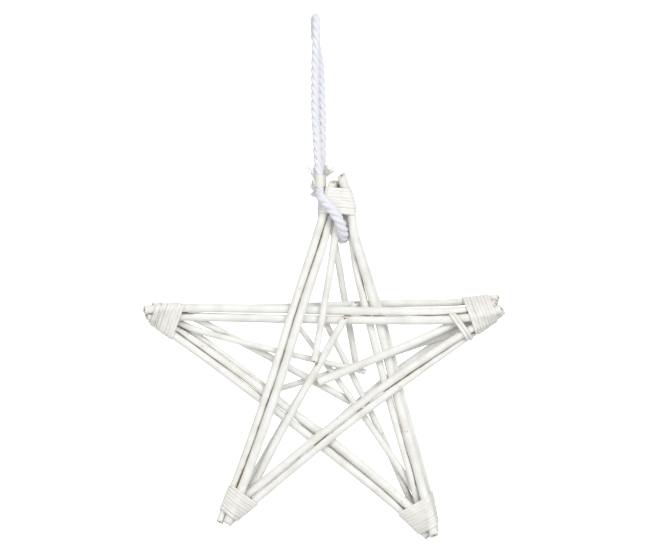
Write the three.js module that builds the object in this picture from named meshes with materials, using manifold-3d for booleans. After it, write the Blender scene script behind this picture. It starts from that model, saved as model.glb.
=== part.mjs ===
// Hanging star woven from whitewashed willow rods, in millimetres, with +Z up and +X to the viewer's right.
// The origin is the inside of the hanging loop's crown, where a nail or hook bears. The front faces -Y.
import * as THREE from "three";
import { mergeVertices } from "three/addons/utils/BufferGeometryUtils.js";
import Module from "manifold-3d";

const wasm = await Module();
wasm.setup();

// Driving sizes of the star
const STAR_REACH = 165;
const TOP_TIP = new THREE.Vector3(17.8, 0, -136.3);
const LAYER_DEPTH = 6.4;
const TIP_GATHER = 0.5;
const ROD_CLEARANCE = 0.4;
const ROD_SIDES = 8;
const SIDE_ROD_STATIONS = 13;
const INNER_ROD_STATIONS = 10;

// Driving sizes of the bindings at the five tips
const BINDING_SETBACK = 6.5;
const BINDING_LENGTH = 25.5;
const BINDING_TURNS = 8;
const LOWER_RIGHT_TURNS = 9;
const STRIP_THICKNESS = 1;
const STRIP_GROOVE = 0.45;
const BINDING_CLEARANCE = 0.45;
const BINDING_SIDES = 17;

// The right binding's last turn is slack: it slips along the lower rods, and slants back until it lies over
// the rest by SLACK_TURN_OVERLAP.
const SLACK_TURN_GAP = 7.6;
const SLACK_TURN_WIDTH = 5.4;
const SLACK_TURN_OVERLAP = 1;
const SLACK_TURN_LIFT = 0.15;

// Driving sizes of the hanging cord and its band
const CORD_DIAMETER = 6;
const CORD_SIDES = 8;
const CORD_STEPS = 78;
const CORD_CLEARANCE = 0.3;
const BAND_TOP = -134.4;
const BAND_LENGTH = 7.8;
const BAND_WALL = 0.9;
const BAND_SIDES = 30;

// Finishes
const WHITEWASHED_WILLOW = { color: 0xefefea, roughness: 0.72, metalness: 0 };
const SPLIT_WILLOW = { color: 0xf2f2ec, roughness: 0.66, metalness: 0 };
const COTTON = { color: 0xe4e6f0, roughness: 0.95, metalness: 0 };
const CREAM_TAPE = { color: 0xe2ded0, roughness: 0.85, metalness: 0 };

// Each tip's direction from the star's centre in degrees, and its reach as a share of STAR_REACH.
const TIPS = {
  top: { turn: 87.4, reach: 1.012 },
  left: { turn: 161.8, reach: 1.015 },
  right: { turn: 21.4, reach: 0.981 },
  lower_left: { turn: 234.8, reach: 0.971 },
  lower_right: { turn: 302.3, reach: 1.019 },
};

// A side is a chord of the pentagram, which other sides cross at these shares of its length.
const FIRST_CROSSING = 0.382;
const SECOND_CROSSING = 1 - FIRST_CROSSING;

// Side rods, three to a side: two in front and one behind, with the crossing sides held between them.
// across: offset from the straight chord at the first tip, its binding's mouth, both crossings, the
//         second binding's mouth and the second tip. Seen from the front, positive is to the left of the way
//         from the first tip to the second.
// layers: depth at the first tip, both crossings and the second tip, in units of LAYER_DEPTH, back positive.
//         At a tip the rods gather to TIP_GATHER of that depth.
// radii:  at the first tip and at the second. trim: how far each cut end runs past the tip point.
const SIDE_RODS = [
  { name: "top_to_lower_left_outer", from: "top", to: "lower_left", radii: [3.4, 3.3],
    across: [-1.2, -0.6, 0, 2.3, 0.8, 0.4], layers: [-1, -1.6, -1.6, -1], trim: [-4, 2] },
  { name: "top_to_lower_left_inner", from: "top", to: "lower_left", radii: [3.9, 3.8],
    across: [2.2, 6.2, 7.6, 8.5, 7, 3.6], layers: [-0.6, -1.5, -1.6, -1.2], trim: [-1, 0] },
  { name: "top_to_lower_left_back", from: "top", to: "lower_left", radii: [3.0, 3.2],
    across: [-0.6, 2.6, 4, 5, 4, 2.4], layers: [0.6, 1.7, 1.7, 0.8], trim: [-3, -1] },
  { name: "top_to_lower_right_inner", from: "top", to: "lower_right", radii: [3.4, 3],
    across: [0.4, -4.4, -5.4, -5.7, -3.8, -2.6], layers: [-0.2, -0.5, -0.5, -0.6], trim: [-2, -1] },
  { name: "top_to_lower_right_outer", from: "top", to: "lower_right", radii: [4.0, 3.8],
    across: [0.6, -0.9, 3, 1.8, 1.8, 1], layers: [-1, -0.5, -0.5, -1], trim: [3, 2] },
  { name: "top_to_lower_right_back", from: "top", to: "lower_right", radii: [3.0, 3.3],
    across: [0, 1.2, 6.1, 5.6, 5.4, 2.2], layers: [0.4, 0.5, 0.5, 0.2], trim: [-2, 0] },
  { name: "left_to_right_upper", from: "left", to: "right", radii: [3.6, 3.7],
    across: [-0.6, 0.6, -1.8, -5.3, -7, -2.2], layers: [-0.9, -0.5, -1.6, -0.6], trim: [1, -2] },
  { name: "left_to_right_lower", from: "left", to: "right", radii: [3.7, 3.6],
    across: [-4, -6, -10.2, -12.6, -12.9, -6], layers: [-0.9, -0.5, -1.6, -1], trim: [0, 0] },
  { name: "left_to_right_back", from: "left", to: "right", radii: [2.8, 3.1],
    across: [0.8, 0.6, 0, 0.8, -0.4, -1.2], layers: [-0.4, 0.5, 1.6, -0.6], trim: [-6, -2] },
  { name: "left_to_lower_right_outer", from: "left", to: "lower_right", radii: [3.2, 3.7],
    across: [-1.2, -0.8, 1.4, 1.3, 0.6, -0.6], layers: [-0.6, -0.5, -0.5, -0.6], trim: [-7, 0] },
  { name: "left_to_lower_right_inner", from: "left", to: "lower_right", radii: [3.4, 3.7],
    across: [1, 4.8, 7.7, 10.2, 7, 2.8], layers: [0.3, -0.5, -0.5, -0.9], trim: [-1, 1] },
  { name: "left_to_lower_right_back", from: "left", to: "lower_right", radii: [3.0, 3.2],
    across: [2.4, 8.8, 10.8, 6, 5, 1], layers: [1, 0.5, 0.5, 0.9], trim: [-3, -2] },
  { name: "lower_left_to_right_upper", from: "lower_left", to: "right", radii: [3.6, 3.4],
    across: [0.4, 3, 6.2, 4.9, -1, -3.6], layers: [-0.6, -1.6, -1.6, -0.8], trim: [0, -2] },
  { name: "lower_left_to_right_lower", from: "lower_left", to: "right", radii: [3.4, 3.3],
    across: [-2.2, -2, -0.2, -0.8, -5.2, -6.4], layers: [-0.7, -1.6, -1.6, -0.6], trim: [-2, -5] },
  { name: "lower_left_to_right_back", from: "lower_left", to: "right", radii: [2.9, 3.2],
    across: [-0.6, 3, 5.6, 8.7, 3.3, -2.4], layers: [0.7, 1.6, 1.6, 0.9], trim: [-2, -3] },
];

// Inner rods, two to a tip, which run in among the others and stop at a cut end.
// end:    the cut end's place from the star's centre, as shares of STAR_REACH to the right and up.
// across: offset from the straight line to that end at the tip, the binding's mouth and the middle.
// layers: depth at the tip, the mouth, the middle and the end.
const INNER_RODS = [
  { name: "top_inner_front", from: "top", end: [-0.0733, 0.0406], radii: [3.3, 3],
    across: [5.2, 6.8, 4.1], layers: [-0.6, -0.9, -1.9, -1.8], trim: -2 },
  { name: "top_inner_back", from: "top", end: [0.1503, 0.0115], radii: [2.9, 2.9],
    across: [-3.8, -5.2, -5.3], layers: [0.2, 0.6, 1.9, 1.5], trim: -3 },
  { name: "left_inner_upper", from: "left", end: [0.2006, -0.0097], radii: [2.8, 2.5],
    across: [-0.6, -5, -3.8], layers: [-0.1, 0, -0.4, 0.1], trim: -2 },
  { name: "left_inner_lower", from: "left", end: [0.1242, -0.169], radii: [2.8, 3.1],
    across: [6, 10.4, 7.8], layers: [0.7, 0.4, 0.5, 0.4], trim: -3 },
  { name: "right_inner_front", from: "right", end: [-0.06, -0.064], radii: [3.4, 3.8],
    across: [-0.6, 0.3, 1.2], layers: [0, -0.6, -1.4, -1.2], trim: -1 },
  { name: "right_inner_back", from: "right", end: [-0.3176, -0.1176], radii: [3.1, 2.5],
    across: [1.6, 8.2, 7], layers: [0.5, 0.8, 1.5, 0.6], trim: -3 },
  { name: "lower_left_inner_front", from: "lower_left", end: [0.0927, 0.2848], radii: [3.4, 3.3],
    across: [-1.9, -6.5, -3.3], layers: [0, -0.4, -1.5, -1.9], trim: -1 },
  { name: "lower_left_inner_back", from: "lower_left", end: [0.1455, 0.3588], radii: [2.9, 2.4],
    across: [0.4, -2.8, -1.2], layers: [0.3, 0.3, 1.4, 0], trim: -3 },
  { name: "lower_right_inner_front", from: "lower_right", end: [-0.1655, 0.243], radii: [3.5, 2.1],
    across: [-3.4, -6.7, -6], layers: [0, -0.1, 0, 0.2], trim: -2 },
  { name: "lower_right_inner_back", from: "lower_right", end: [-0.023, 0.2691], radii: [2.9, 2.6],
    across: [1.6, 3.3, 0], layers: [0.4, 0.5, 0.5, 0], trim: -3 },
];

// The cord's route, chosen by hand: from its frayed end above the band, down behind the top tip, forward
// between the rods, up over the binding, through the band to the crown, and down again to its other end.
const CORD_ROUTE = [
  [5.6, 7.8, -124.5], [4.4, 6.4, -133], [3.8, 6, -146], [2.9, 9, -155.5], [2.6, 13.9, -166],
  [7.2, 17.8, -174.6], [13.6, 17.8, -181.4], [19.4, 13.6, -186.4], [22.6, 5.4, -189], [23.4, -3.4, -187.4],
  [22.8, -11.6, -183], [21.2, -17.4, -177.2], [18, -20, -171.2], [13.2, -20.7, -164], [8, -21.3, -158],
  [3.9, -18.8, -153.4], [2.6, -12.8, -150], [3, -7.1, -146], [3.2, -6, -140], [2.2, -5.7, -131],
  [1, -4.7, -121], [0.2, -3.6, -104], [-1.2, -3.3, -75.5], [-1.1, -4.2, -42.5], [-0.6, -5.4, -25],
  [0, -6.3, -12], [0, -5.6, -3], [-0.4, -3.1, 1.8], [-0.9, 0, 3], [-1.4, 3.1, 1.8],
  [-1.7, 5.6, -3], [-1.3, 6.3, -12], [0.8, 5.4, -25], [3.4, 4.3, -42.5], [4.6, 3, -75.5],
  [4.8, 2.2, -104], [4.6, 1.2, -121], [2.2, 0.4, -132], [1.2, 0.1, -146.2], [-2.2, -1, -154],
];

// How the rods settle against each other
const SETTLING_PASSES = 260;
const FREE_PASSES = 160;
const PLAN_PULL = 0.12;
const DEPTH_PULL = 0.05;
const STIFFNESS = 0.25;
const PLAN_SHARE = 0.2;

const tipNames = Object.keys(TIPS);
const starCentre = TOP_TIP.clone().sub(fromCentre(TIPS.top));
const tipPoints = Object.fromEntries(tipNames.map((tip) => (
  [tip, starCentre.clone().add(fromCentre(TIPS[tip]))])));

function fromCentre({ turn, reach }) {
  const angle = THREE.MathUtils.degToRad(turn);
  return new THREE.Vector3(Math.cos(angle), 0, Math.sin(angle)).multiplyScalar(reach * STAR_REACH);
}

// A point beside the straight line from start to end, at a share of its length and a layer of depth.
function besideLine(start, end, share, across, layer) {
  const along = end.clone().sub(start).normalize();
  const sideways = new THREE.Vector3(-along.z, 0, along.x);
  const point = start.clone().lerp(end, share).addScaledVector(sideways, across);
  point.y = layer * LAYER_DEPTH;
  return point;
}

// Evenly spaced stations along the smooth curve through the knots, with a radius at each.
function rodThrough(name, knots, radii, stations) {
  const curve = new THREE.CatmullRomCurve3(knots, false, "centripetal");
  const points = curve.getSpacedPoints(stations - 1);
  const radiusAt = points.map((_, i) => THREE.MathUtils.lerp(radii[0], radii[1], i / (stations - 1)));
  return { name, points, radii: radiusAt, aims: points.map((point) => point.clone()) };
}

function sideRod({ name, from, to, radii, across, layers, trim }) {
  const start = tipPoints[from];
  const end = tipPoints[to];
  const length = start.distanceTo(end);
  const mouth = (BINDING_SETBACK + BINDING_LENGTH) / length;
  const shares = [-trim[0] / length, mouth, FIRST_CROSSING, SECOND_CROSSING, 1 - mouth, 1 + trim[1] / length];
  const first = layers[0] * TIP_GATHER;
  const second = layers[3] * TIP_GATHER;
  const depths = [first, (first + layers[1]) / 2, layers[1], layers[2], (layers[2] + second) / 2, second];
  const knots = shares.map((share, i) => besideLine(start, end, share, across[i], depths[i]));
  return rodThrough(name, knots, radii, SIDE_ROD_STATIONS);
}

function innerRod({ name, from, end, radii, across, layers, trim }) {
  const start = tipPoints[from];
  const stop = starCentre.clone().add(new THREE.Vector3(end[0], 0, end[1]).multiplyScalar(STAR_REACH));
  const length = start.distanceTo(stop);
  const shares = [-trim / length, (BINDING_SETBACK + BINDING_LENGTH) / length, 0.5, 1];
  const offsets = [...across, 0];
  const depths = [layers[0] * TIP_GATHER, ...layers.slice(1)];
  const knots = shares.map((share, i) => besideLine(start, stop, share, offsets[i], depths[i]));
  return rodThrough(name, knots, radii, INNER_ROD_STATIONS);
}

// Shares along two straight pieces at which they come closest.
function closestShares(a0, a1, b0, b1) {
  const u = a1.clone().sub(a0);
  const v = b1.clone().sub(b0);
  const w = a0.clone().sub(b0);
  const uu = u.dot(u);
  const uv = u.dot(v);
  const vv = v.dot(v);
  const uw = u.dot(w);
  const vw = v.dot(w);
  const spread = uu * vv - uv * uv;
  let s = spread > 1e-9 ? THREE.MathUtils.clamp((uv * vw - vv * uw) / spread, 0, 1) : 0.5;
  const t = THREE.MathUtils.clamp((uv * s + vw) / vv, 0, 1);
  s = THREE.MathUtils.clamp((uv * t - uw) / uu, 0, 1);
  return [s, t];
}

// Pushes one piece of rod clear of another, mostly in depth, and returns how far they overlapped.
function pushApart(rod, i, other, j, clearance) {
  const [s, t] = closestShares(rod.points[i], rod.points[i + 1], other.points[j], other.points[j + 1]);
  const near = rod.points[i].clone().lerp(rod.points[i + 1], s);
  const far = other.points[j].clone().lerp(other.points[j + 1], t);
  const needed = THREE.MathUtils.lerp(rod.radii[i], rod.radii[i + 1], s)
    + THREE.MathUtils.lerp(other.radii[j], other.radii[j + 1], t) + clearance;
  const apart = near.clone().sub(far);
  const gap = needed - apart.length();
  if (gap <= 0) {
    return 0;
  }
  const nearAim = rod.aims[i].clone().lerp(rod.aims[i + 1], s);
  const farAim = other.aims[j].clone().lerp(other.aims[j + 1], t);
  const wanted = nearAim.sub(farAim);
  if (apart.length() < needed / 3 || apart.y * wanted.y < 0) {
    apart.y = Math.sign(wanted.y || i - j || 1) * Math.max(Math.abs(apart.y), needed / 3);
  }
  const direction = apart.normalize();
  const push = new THREE.Vector3(direction.x * PLAN_SHARE, direction.y, direction.z * PLAN_SHARE);
  push.multiplyScalar(gap / Math.max(push.dot(direction), 0.1) / 2);
  const share = other.fixed ? 2 : 1;
  rod.points[i].addScaledVector(push, share * (1 - s));
  rod.points[i + 1].addScaledVector(push, share * s);
  if (!other.fixed) {
    other.points[j].addScaledVector(push, t - 1);
    other.points[j + 1].addScaledVector(push, -t);
  }
  return gap;
}

// Draws each station towards its aim, and keeps the rod's own bend.
function relaxRod(rod) {
  const bends = rod.points.map((point, i) => {
    if (i === 0 || i === rod.points.length - 1) {
      return new THREE.Vector3();
    }
    const bend = rod.points[i - 1].clone().add(rod.points[i + 1]).multiplyScalar(0.5).sub(point);
    const wanted = rod.aims[i - 1].clone().add(rod.aims[i + 1]).multiplyScalar(0.5).sub(rod.aims[i]);
    return bend.sub(wanted).multiplyScalar(STIFFNESS);
  });
  rod.points.forEach((point, i) => {
    point.add(bends[i]);
    point.x += (rod.aims[i].x - point.x) * PLAN_PULL;
    point.z += (rod.aims[i].z - point.z) * PLAN_PULL;
    point.y += (rod.aims[i].y - point.y) * DEPTH_PULL;
  });
}

// Lets the rods rest against each other, and against the cord where it runs between them.
function settle(rods, cord) {
  const reach = 2 * CORD_DIAMETER;
  for (let pass = 0; pass < SETTLING_PASSES + FREE_PASSES; pass += 1) {
    if (pass < SETTLING_PASSES) {
      rods.forEach(relaxRod);
    }
    let deepest = 0;
    rods.forEach((rod, a) => {
      for (const other of [...rods.slice(a + 1), cord]) {
        for (let i = 0; i < rod.points.length - 1; i += 1) {
          const low = Math.min(rod.points[i].x, rod.points[i + 1].x) - reach;
          const high = Math.max(rod.points[i].x, rod.points[i + 1].x) + reach;
          const bottom = Math.min(rod.points[i].z, rod.points[i + 1].z) - reach;
          const top = Math.max(rod.points[i].z, rod.points[i + 1].z) + reach;
          for (let j = 0; j < other.points.length - 1; j += 1) {
            const [p, q] = [other.points[j], other.points[j + 1]];
            const apart = Math.max(p.x, q.x) < low || Math.min(p.x, q.x) > high
              || Math.max(p.z, q.z) < bottom || Math.min(p.z, q.z) > top;
            if (!apart) {
              deepest = Math.max(deepest, pushApart(rod, i, other, j, ROD_CLEARANCE));
            }
          }
        }
      }
    });
    if (pass >= SETTLING_PASSES && deepest < ROD_CLEARANCE / 8) {
      break;
    }
  }
}

// A closed skin from rings of points, in order, with faces pointing away from the rings' insides.
function skin(positions, triangles) {
  const geometry = new THREE.BufferGeometry();
  const coordinates = positions.flatMap((position) => position.toArray());
  geometry.setAttribute("position", new THREE.Float32BufferAttribute(coordinates, 3));
  geometry.setIndex(triangles);
  return geometry;
}

function ringBands(rings, sides, closed, flip) {
  const triangles = [];
  for (let ring = 0; ring < (closed ? rings : rings - 1); ring += 1) {
    const here = ring * sides;
    const next = ((ring + 1) % rings) * sides;
    for (let k = 0; k < sides; k += 1) {
      const m = (k + 1) % sides;
      triangles.push(here + k, here + m, next + m, here + k, next + m, next + k);
    }
  }
  return flip ? triangles.reverse() : triangles;
}

// A rod: round sections square to its run, with flat cut ends.
function rodGeometry({ points, radii }) {
  const positions = [];
  let sideways = new THREE.Vector3(0, 1, 0);
  points.forEach((point, i) => {
    const before = points[Math.max(i - 1, 0)];
    const after = points[Math.min(i + 1, points.length - 1)];
    const run = after.clone().sub(before).normalize();
    sideways = sideways.clone().addScaledVector(run, -sideways.dot(run)).normalize();
    const up = run.clone().cross(sideways);
    for (let k = 0; k < ROD_SIDES; k += 1) {
      const angle = ((k + 0.5) / ROD_SIDES) * 2 * Math.PI;
      const spoke = sideways.clone().multiplyScalar(Math.cos(angle)).addScaledVector(up, Math.sin(angle));
      positions.push(point.clone().addScaledVector(spoke, radii[i]));
    }
  });
  const triangles = ringBands(points.length, ROD_SIDES, false, false);
  const last = (points.length - 1) * ROD_SIDES;
  for (let k = 1; k < ROD_SIDES - 1; k += 1) {
    triangles.push(0, k + 1, k, last, last + k, last + k + 1);
  }
  return skin(positions, triangles);
}

// Where each rod passes a plane square to the tip's axis, as circles in that plane.
function circlesAt(rods, tip, axis, distance) {
  const sideways = new THREE.Vector3(-axis.z, 0, axis.x);
  const circles = [];
  for (const { points, radii } of rods) {
    for (let i = 0; i < points.length - 1; i += 1) {
      const here = points[i].clone().sub(tip).dot(axis) - distance;
      const next = points[i + 1].clone().sub(tip).dot(axis) - distance;
      if (here * next <= 0 && here !== next) {
        const share = here / (here - next);
        const place = points[i].clone().lerp(points[i + 1], share).sub(tip);
        const run = points[i + 1].clone().sub(points[i]).normalize();
        const radius = THREE.MathUtils.lerp(radii[i], radii[i + 1], share) / Math.abs(run.dot(axis));
        circles.push({ across: place.dot(sideways), depth: place.y, radius });
      }
    }
  }
  return circles;
}

// The corner between two neighbouring flats of a taut wrap around the circles, at a distance outside them.
function wrapCorner(circles, angle, step, outside) {
  const reachOf = (turn) => outside + Math.max(...circles.map(({ across, depth, radius }) => (
    across * Math.cos(turn) + depth * Math.sin(turn) + radius)));
  const first = reachOf(angle);
  const beside = (reachOf(angle + step) - first * Math.cos(step)) / Math.sin(step);
  return [
    first * Math.cos(angle) - beside * Math.sin(angle),
    first * Math.sin(angle) + beside * Math.cos(angle),
  ];
}

// A sleeve wound tight around rods that meet at a tip. rows: distance along the axis and thickness of the
// wall, in order from the tip inwards. slant: how much nearer the tip a row lies on the side that sideways
// points to.
function sleeve(rods, tip, axis, rows, sides, clearance, slant) {
  const sideways = new THREE.Vector3(-axis.z, 0, axis.x);
  const step = (2 * Math.PI) / sides;
  const rowPoints = (distance, outside) => {
    const points = [];
    for (let k = 0; k < sides; k += 1) {
      const place = distance - slant * Math.cos((k + 0.5) * step);
      const [across, depth] = wrapCorner(circlesAt(rods, tip, axis, place), k * step, step, outside);
      points.push(tip.clone().addScaledVector(axis, place).addScaledVector(sideways, across)
        .add(new THREE.Vector3(0, depth, 0)));
    }
    return points;
  };
  const outer = rows.map(([distance, wall]) => rowPoints(distance, clearance + wall));
  const innerRows = rows.filter((_, i) => i % 4 === 0 || i === rows.length - 1).reverse();
  const inner = innerRows.map(([distance]) => rowPoints(distance, clearance));
  const rings = [...outer, ...inner];
  return skin(rings.flat(), ringBands(rings.length, sides, true, true));
}

// A binding's rows, with any turns past BINDING_TURNS wound on nearer the tip.
function bindingRows(turns) {
  const pitch = BINDING_LENGTH / BINDING_TURNS;
  const first = BINDING_SETBACK - (turns - BINDING_TURNS) * pitch;
  const rows = [[first, STRIP_THICKNESS - STRIP_GROOVE]];
  for (let turn = 0; turn < turns; turn += 1) {
    const start = first + turn * pitch;
    rows.push([start + pitch / 2, STRIP_THICKNESS]);
    rows.push([start + pitch, STRIP_THICKNESS - STRIP_GROOVE]);
  }
  return rows;
}

// Two closed skins that overlap, joined into one.
function joined(first, second) {
  const [a, b] = [first, second].map((geometry) => {
    const merged = mergeVertices(geometry, 1e-4);
    return new wasm.Manifold(new wasm.Mesh({
      numProp: 3,
      vertProperties: new Float32Array(merged.attributes.position.array),
      triVerts: new Uint32Array(merged.index.array),
    }));
  });
  const mesh = a.add(b).getMesh();
  const geometry = new THREE.BufferGeometry();
  geometry.setAttribute("position", new THREE.Float32BufferAttribute(mesh.vertProperties, 3));
  geometry.setIndex(Array.from(mesh.triVerts));
  return geometry;
}

function slackTurnRows() {
  const start = BINDING_SETBACK + BINDING_LENGTH + SLACK_TURN_GAP;
  const end = start + SLACK_TURN_WIDTH;
  return [start, (start + end) / 2, end].map((distance) => [distance, STRIP_THICKNESS]);
}

// A curve whose steps follow its knots, which lie closer together in the tight bends.
class CordCurve extends THREE.CatmullRomCurve3 {
  getUtoTmapping(u) {
    return u;
  }
}

function cordGeometry(curve) {
  const section = new THREE.Shape(Array.from({ length: CORD_SIDES }, (_, k) => {
    const angle = (k / CORD_SIDES) * 2 * Math.PI;
    return new THREE.Vector2(Math.cos(angle), Math.sin(angle)).multiplyScalar(CORD_DIAMETER / 2);
  }));
  return new THREE.ExtrudeGeometry(section, { steps: CORD_STEPS, extrudePath: curve, bevelEnabled: false });
}

const cordCurve = new CordCurve(CORD_ROUTE.map((place) => new THREE.Vector3(...place)));
const cord = { points: cordCurve.getPoints(CORD_STEPS) };
cord.radii = cord.points.map(() => CORD_DIAMETER / 2);

// The run of cord between the rods: the part of it below the top binding.
const bindingEnd = TOP_TIP.z - BINDING_SETBACK - BINDING_LENGTH;
const lowPoints = cord.points.filter((point) => point.z < bindingEnd);
const lowRadii = cord.radii.slice(0, lowPoints.length);
const lowRun = { fixed: true, points: lowPoints, aims: lowPoints, radii: lowRadii };

const sideRods = SIDE_RODS.map(sideRod);
const innerRods = INNER_RODS.map(innerRod);
const allRods = [...sideRods, ...innerRods];
settle(allRods, lowRun);

const star = new THREE.Group();

function addPiece(name, geometry, finish) {
  const piece = new THREE.Mesh(geometry, new THREE.MeshStandardMaterial(finish));
  piece.name = name;
  star.add(piece);
}

for (const rod of allRods) {
  addPiece(`rod_${rod.name}`, rodGeometry(rod), WHITEWASHED_WILLOW);
}

function rodsWhere(test) {
  const chosen = [...SIDE_RODS, ...INNER_RODS].map(test);
  return allRods.filter((_, i) => chosen[i]);
}

for (const tip of tipNames) {
  const gathered = rodsWhere(({ from, to }) => from === tip || to === tip);
  const axis = starCentre.clone().sub(tipPoints[tip]).normalize();
  const rows = bindingRows(tip === "lower_right" ? LOWER_RIGHT_TURNS : BINDING_TURNS);
  let binding = sleeve(gathered, tipPoints[tip], axis, rows, BINDING_SIDES, BINDING_CLEARANCE, 0);
  if (tip === "right") {
    const lower = rodsWhere(({ from, to }) => from === tip || (from === "lower_left" && to === tip));
    const clearance = BINDING_CLEARANCE + SLACK_TURN_LIFT;
    const slant = SLACK_TURN_GAP + SLACK_TURN_OVERLAP;
    const slack = sleeve(lower, tipPoints[tip], axis, slackTurnRows(), BINDING_SIDES, clearance, slant);
    binding = joined(binding, slack);
  }
  addPiece(`binding_${tip}`, binding, SPLIT_WILLOW);
}

const bandTop = new THREE.Vector3(0, 0, BAND_TOP);
const down = new THREE.Vector3(0, 0, -1);
const bandRows = [[0, BAND_WALL], [BAND_LENGTH, BAND_WALL]];
addPiece("hanging_cord", cordGeometry(cordCurve), COTTON);
addPiece("cord_band", sleeve([cord], bandTop, down, bandRows, BAND_SIDES, CORD_CLEARANCE, 0), CREAM_TAPE);

export default star;
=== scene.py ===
"""Hanging star woven from whitewashed willow rods, dressed over its solid model.

Every length is in metres unless a name says otherwise. The star faces -Y and hangs from the inside of
its cord loop's crown, which is the origin.
"""

import logging
import math
from dataclasses import dataclass, field
from enum import Enum

import bpy
import numpy as np
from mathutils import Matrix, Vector

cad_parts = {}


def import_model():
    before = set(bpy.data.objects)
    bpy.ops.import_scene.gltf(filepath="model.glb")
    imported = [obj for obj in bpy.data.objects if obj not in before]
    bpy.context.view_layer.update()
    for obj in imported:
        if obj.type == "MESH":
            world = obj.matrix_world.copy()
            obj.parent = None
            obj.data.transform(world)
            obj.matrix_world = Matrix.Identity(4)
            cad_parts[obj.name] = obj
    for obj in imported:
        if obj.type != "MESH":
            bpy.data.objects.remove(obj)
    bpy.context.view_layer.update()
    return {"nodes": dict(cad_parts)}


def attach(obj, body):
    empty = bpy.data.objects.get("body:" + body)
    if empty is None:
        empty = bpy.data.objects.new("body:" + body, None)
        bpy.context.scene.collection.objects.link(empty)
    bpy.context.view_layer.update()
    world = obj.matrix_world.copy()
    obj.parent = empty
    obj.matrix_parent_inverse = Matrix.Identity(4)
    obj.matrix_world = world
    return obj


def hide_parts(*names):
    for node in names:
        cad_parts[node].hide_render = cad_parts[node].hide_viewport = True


LOG = logging.getLogger("willow_star")
MM = 0.001
# Farther than any rod lies from another, in metres
OUT_OF_REACH = 1.0
# Sine waves in each octave of a wobble, how much their lengths differ, and what brings them to about 1
WAVES = 3
WAVE_STRETCH = (0.7, 1.4)
WAVE_SUM = 4
STAR_REACH = 165 * MM


class Tip(Enum):
    """The star's five tips: direction from the centre in degrees, and reach as a share of the radius."""

    TOP = ("top", 87.4, 1.012)
    LEFT = ("left", 161.8, 1.015)
    RIGHT = ("right", 21.4, 0.981)
    LOWER_LEFT = ("lower_left", 234.8, 0.971)
    LOWER_RIGHT = ("lower_right", 302.3, 1.019)

    @property
    def label(self) -> str:
        """The tip's name as the solids' names spell it."""
        return self.value[0]

    def from_centre(self) -> np.ndarray:
        """The tip's place from the star's centre, in metres."""
        angle = math.radians(self.value[1])
        return np.array([math.cos(angle), 0, math.sin(angle)]) * self.value[2] * STAR_REACH


class RodFinish(Enum):
    """A rod's two finishes, by material slot."""

    BARK_SIDE = 0
    CUT_END = 1


class Lay(Enum):
    """The way a rope's strands turn, seen from the front on a rope that hangs."""

    S_TWIST = -1
    Z_TWIST = 1


TOP_TIP = np.array([17.8, 0, -136.3]) * MM
STAR_CENTRE = TOP_TIP - Tip.TOP.from_centre()


def linear(colour: str) -> tuple[float, float, float, float]:
    """Turns an sRGB hex colour into the linear colour that a shader takes.

    Args:
        colour: The colour as #rrggbb.

    Returns:
        The linear red, green, blue and an alpha of one.
    """
    channels = [int(colour[i : i + 2], 16) / 255 for i in (1, 3, 5)]
    return (*[c / 12.92 if c <= 0.04045 else ((c + 0.055) / 1.055) ** 2.4 for c in channels], 1.0)


def add_node(
    tree: bpy.types.NodeTree,
    kind: str,
    settings: dict | None = None,
    links: dict | None = None,
) -> bpy.types.Node:
    """Adds a shader node with its settings and links.

    Args:
        tree: The material's node tree.
        kind: The node's type name, without the ShaderNode before it.
        settings: Values by input name or number, or by the node's own property.
        links: Output sockets by the input name or number that each feeds.

    Returns:
        The new node.
    """
    node = tree.nodes.new(f"ShaderNode{kind}")
    for key, value in (settings or {}).items():
        if isinstance(key, int) or key in node.inputs:
            node.inputs[key].default_value = value
        else:
            setattr(node, key, value)
    for key, socket in (links or {}).items():
        tree.links.new(socket, node.inputs[key])
    return node


def new_material(name: str) -> tuple[bpy.types.Material, bpy.types.NodeTree]:
    """Starts a material with an empty node tree.

    Args:
        name: The material's name.

    Returns:
        The material and its node tree.
    """
    material = bpy.data.materials.new(name)
    material.use_nodes = True
    material.node_tree.nodes.clear()
    return material, material.node_tree


@dataclass(frozen=True)
class Noise:
    """A noise pattern: the size of its grains, its layers of detail and how rough they are."""

    size_mm: float
    detail: float
    roughness: float = 0.5

    def settings(self) -> dict[str, float]:
        """The noise node's settings."""
        return {"Scale": 1 / (self.size_mm * MM), "Detail": self.detail, "Roughness": self.roughness}


@dataclass(frozen=True)
class Ramp:
    """A stretch of values, low to high, over which a share runs from its first to its last value."""

    low: float
    high: float
    last: float
    first: float = 0.0

    def settings(self) -> dict[str, float]:
        """The map range node's settings."""
        return {"From Min": self.low, "From Max": self.high, "To Min": self.first, "To Max": self.last}


@dataclass(frozen=True)
class Relief:
    """A fine relief: how strongly it shows and how deep it is."""

    strength: float
    depth_mm: float

    def settings(self) -> dict[str, float]:
        """The bump node's settings."""
        return {"Strength": self.strength, "Distance": self.depth_mm * MM}


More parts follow.
